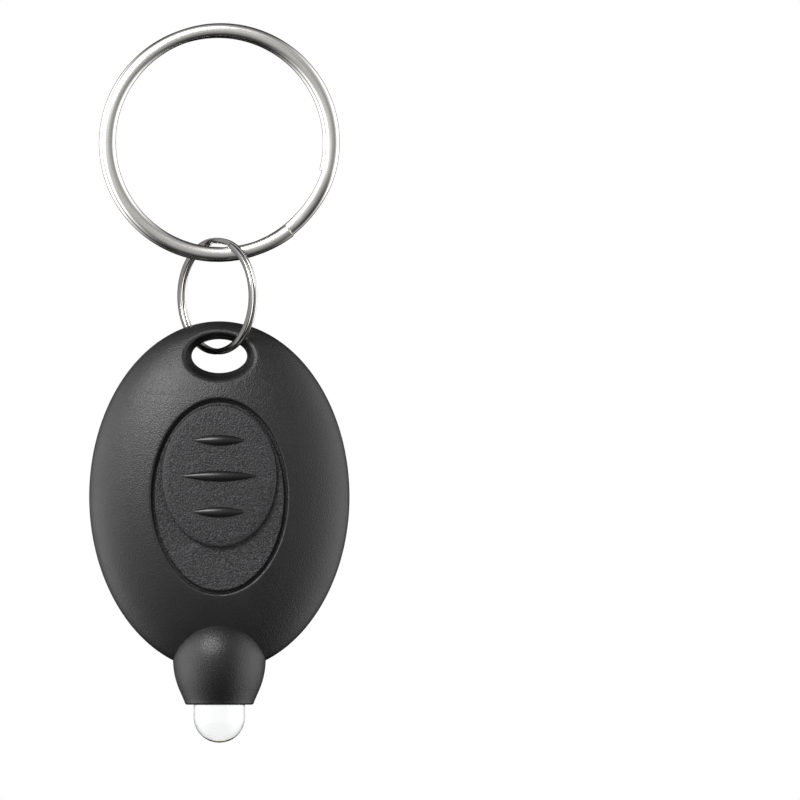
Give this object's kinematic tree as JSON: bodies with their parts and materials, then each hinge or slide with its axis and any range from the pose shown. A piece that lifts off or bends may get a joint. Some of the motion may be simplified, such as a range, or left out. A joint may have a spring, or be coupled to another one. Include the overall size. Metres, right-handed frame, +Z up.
{
  "type": "keychain flashlight",
  "caption": "Oval pocket flashlight with a round nose and lens, a sliding and pressing oval switch, and two split rings.",
  "frame": {"origin": "centre of the large key ring, midway between its two coils", "axes": "+Z up towards the top of the key ring, -Y out of the switch face, +X to the right seen from the front"},
  "size_m": [0.0254, 0.0095, 0.0701],
  "materials": {
    "shell_plastic": "moulded satin, fine texture",
    "switch_plastic": "moulded, coarse grain texture",
    "clip_plastic": "natural acetal",
    "lens": "water-clear cast lens",
    "lead_metal": "tinned lead frame",
    "chip": "light emitting chip",
    "phosphor": "phosphor gel",
    "bond_gold": "bright gold wire",
    "cell_steel": "nickel-plated steel",
    "gasket": "polymer seal",
    "insulator": "adhesive film",
    "screw_steel": "zinc-plated steel",
    "ring_nickel": "nickel-plated spring steel"
  },
  "bodies": {
    "key_ring": {"key_ring": "ring_nickel"},
    "link": {"link_ring": "ring_nickel"},
    "case": {"front_shell": "shell_plastic", "back_shell": "shell_plastic", "led_lens": "lens", "led_anode": "lead_metal", "led_cathode": "lead_metal", "led_chip": "chip", "led_phosphor": "phosphor", "bond_wire": "bond_gold", "rear_cell_can": "cell_steel", "rear_cell_gasket": "gasket", "rear_cell_cap": "cell_steel", "front_cell_can": "cell_steel", "front_cell_gasket": "gasket", "front_cell_cap": "cell_steel", "insulator_ring": "insulator", "case_screws": "screw_steel"},
    "plate": {"press_plate": "switch_plastic"},
    "slider": {"thumb_slider": "switch_plastic", "slider_clip": "clip_plastic"}
  },
  "joints": [
    {"name": "link_slide", "type": "hinge", "parent": "key_ring", "child": "link", "pos_m": [0, 0, 0], "axis": [0, 1, 0], "continuous": true},
    {"name": "case_swing", "type": "hinge", "parent": "link", "child": "case", "pos_m": [-0.0002, 0, -0.01497], "axis": [0.766, 0.6428, 0], "range_deg": [-80, 80]},
    {"name": "switch_press", "type": "slide", "parent": "case", "child": "plate", "axis": [0, 1, 0], "range_m": [0, 0.0005], "stiffness_N_per_m": 1500, "deforming": ["led_cathode"]},
    {"name": "slide_lock", "type": "slide", "parent": "plate", "child": "slider", "axis": [0, 0, -1], "range_m": [0, 0.004], "deforming": ["led_cathode"]}
  ]
}
